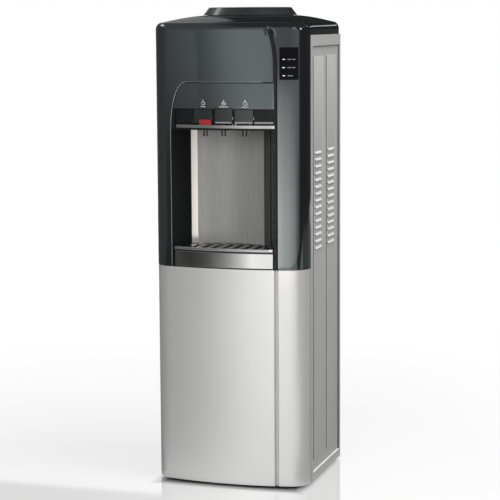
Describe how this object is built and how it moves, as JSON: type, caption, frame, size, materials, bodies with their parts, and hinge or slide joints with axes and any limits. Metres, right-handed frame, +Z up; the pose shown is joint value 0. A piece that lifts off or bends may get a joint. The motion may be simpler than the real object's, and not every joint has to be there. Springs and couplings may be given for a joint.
{
  "type": "water cooler",
  "caption": "Floor-standing bottle-top water cooler: press-key taps over a drip tray in a hollow bay, bottle collar on top, hinged fridge door below, louvred side panels, condenser behind.",
  "frame": {"origin": "on the floor under the centre of the overall box", "axes": "+Z up, the front with the taps and the door faces -Y, +X to the right of a viewer at the front"},
  "size_m": [0.31, 0.32, 0.931],
  "materials": {
    "graphite_gloss": "gloss graphite moulding",
    "bay_black": "satin dark moulding",
    "key_black": "gloss dark keys",
    "lock_red": "red plastic",
    "window_black": "black gloss",
    "lamp_lens": "translucent lens",
    "splash_steel": "brushed sheet",
    "trim_bright": "bright strip",
    "tray_silver": "silver paint",
    "grille_grey": "dark grey",
    "tap_plastic": "dark plastic",
    "plunger_white": "white plastic",
    "steel_zinc": "zinc plated",
    "tank_steel": "drawn steel",
    "foam": "rigid foam",
    "liner_white": "white liner",
    "door_silver": "silver metallic paint",
    "panel_grey": "light grey paint",
    "rubber": "black rubber",
    "silicone": "milky silicone",
    "black_paint": "black paint"
  },
  "bodies": {
    "cabinet": {"top_cover": "graphite_gloss", "bottle_collar": "graphite_gloss", "front_fascia": "graphite_gloss", "bay_frame": "bay_black", "bottle_funnel": "bay_black", "display_window": "window_black", "light_guide": "lamp_lens", "backsplash": "splash_steel", "ledge_trim": "trim_bright", "tap_hot": "tap_plastic", "tap_room": "tap_plastic", "tap_cold": "tap_plastic", "switch_housing": "tap_plastic", "cord_inlet": "tap_plastic", "water_guard": "plunger_white", "key_rod": "steel_zinc", "tank_shelf": "steel_zinc", "machine_deck": "steel_zinc", "base_pan": "steel_zinc", "hinge_top": "steel_zinc", "hinge_bottom": "steel_zinc", "cold_plate": "steel_zinc", "cold_tank": "tank_steel", "hot_tank": "tank_steel", "fridge_shelf": "tank_steel", "cold_tank_jacket": "foam", "fridge_foam": "foam", "fridge_liner": "liner_white", "side_panel_left": "panel_grey", "side_panel_right": "panel_grey", "rear_panel": "panel_grey", "foot_front_left": "rubber", "foot_front_right": "rubber", "foot_rear_left": "rubber", "foot_rear_right": "rubber", "tube_hot": "silicone", "tube_room": "silicone", "tube_cold": "silicone", "condenser_tube": "black_paint", "condenser_wires": "black_paint", "compressor": "black_paint"},
    "door": {"door_skin": "door_silver", "door_top_cap": "tap_plastic", "door_bottom_cap": "tap_plastic", "door_foam": "foam", "door_inner_panel": "liner_white", "door_gasket": "rubber"},
    "tray": {"drip_tray": "bay_black", "tray_front": "tray_silver"},
    "grille": {"drip_grille": "grille_grey"},
    "hot_key": {"key_hot": "key_black"},
    "lock_tab": {"child_lock": "lock_red"},
    "room_key": {"key_room": "key_black"},
    "cold_key": {"key_cold": "key_black"},
    "hot_plunger": {"plunger_hot": "plunger_white"},
    "room_plunger": {"plunger_room": "plunger_white"},
    "cold_plunger": {"plunger_cold": "plunger_white"},
    "heater_rocker": {"rocker_heater": "lock_red"},
    "cooling_rocker": {"rocker_cooling": "lock_red"},
    "dial": {"thermostat_dial": "tap_plastic"}
  },
  "joints": [
    {"name": "door_hinge", "type": "hinge", "parent": "cabinet", "child": "door", "pos_m": [-0.147, -0.1175, 0.218], "axis": [0, 0, -1], "range_deg": [0, 110]},
    {"name": "tray_slide", "type": "slide", "parent": "cabinet", "child": "tray", "axis": [0, -1, 0], "range_m": [0, 0.09]},
    {"name": "grille_lift", "type": "slide", "parent": "tray", "child": "grille", "axis": [0, 0, 1], "range_m": [0, 0.03]},
    {"name": "hot_key_press", "type": "hinge", "parent": "cabinet", "child": "hot_key", "pos_m": [-0.0453, -0.1175, 0.728], "axis": [1, 0, 0], "range_deg": [0, 4], "stiffness_Nm_per_rad": 0.5, "springref_deg": -2.86},
    {"name": "room_key_press", "type": "hinge", "parent": "cabinet", "child": "room_key", "pos_m": [-0.003, -0.1175, 0.728], "axis": [1, 0, 0], "range_deg": [0, 4], "stiffness_Nm_per_rad": 0.5, "springref_deg": -2.86},
    {"name": "cold_key_press", "type": "hinge", "parent": "cabinet", "child": "cold_key", "pos_m": [0.0375, -0.1175, 0.728], "axis": [1, 0, 0], "range_deg": [0, 4], "stiffness_Nm_per_rad": 0.5, "springref_deg": -2.86},
    {"name": "hot_valve_stroke", "type": "slide", "parent": "cabinet", "child": "hot_plunger", "axis": [0, 0, -1], "range_m": [0, 0.002], "stiffness_N_per_m": 0.1, "springref_m": -0.012},
    {"name": "room_valve_stroke", "type": "slide", "parent": "cabinet", "child": "room_plunger", "axis": [0, 0, -1], "range_m": [0, 0.002], "stiffness_N_per_m": 0.1, "springref_m": -0.012},
    {"name": "cold_valve_stroke", "type": "slide", "parent": "cabinet", "child": "cold_plunger", "axis": [0, 0, -1], "range_m": [0, 0.002], "stiffness_N_per_m": 0.1, "springref_m": -0.012},
    {"name": "lock_slide", "type": "slide", "parent": "hot_key", "child": "lock_tab", "axis": [0, 0, 1], "range_m": [0, 0.003], "stiffness_N_per_m": 200, "springref_m": -0.002},
    {"name": "heater_switch", "type": "hinge", "parent": "cabinet", "child": "heater_rocker", "pos_m": [-0.112, 0.1202, 0.815], "axis": [1, 0, 0], "range_deg": [0, 20]},
    {"name": "cooling_switch", "type": "hinge", "parent": "cabinet", "child": "cooling_rocker", "pos_m": [-0.084, 0.1202, 0.815], "axis": [1, 0, 0], "range_deg": [0, 20]},
    {"name": "thermostat_turn", "type": "hinge", "parent": "cabinet", "child": "dial", "pos_m": [-0.04, 0.1205, 0.815], "axis": [0, 1, 0], "range_deg": [0, 270]}
  ],
  "couplings": [
    {"joint": "hot_valve_stroke", "follows": "hot_key_press", "m_per_rad": 0.026},
    {"joint": "room_valve_stroke", "follows": "room_key_press", "m_per_rad": 0.026},
    {"joint": "cold_valve_stroke", "follows": "cold_key_press", "m_per_rad": 0.026}
  ]
}
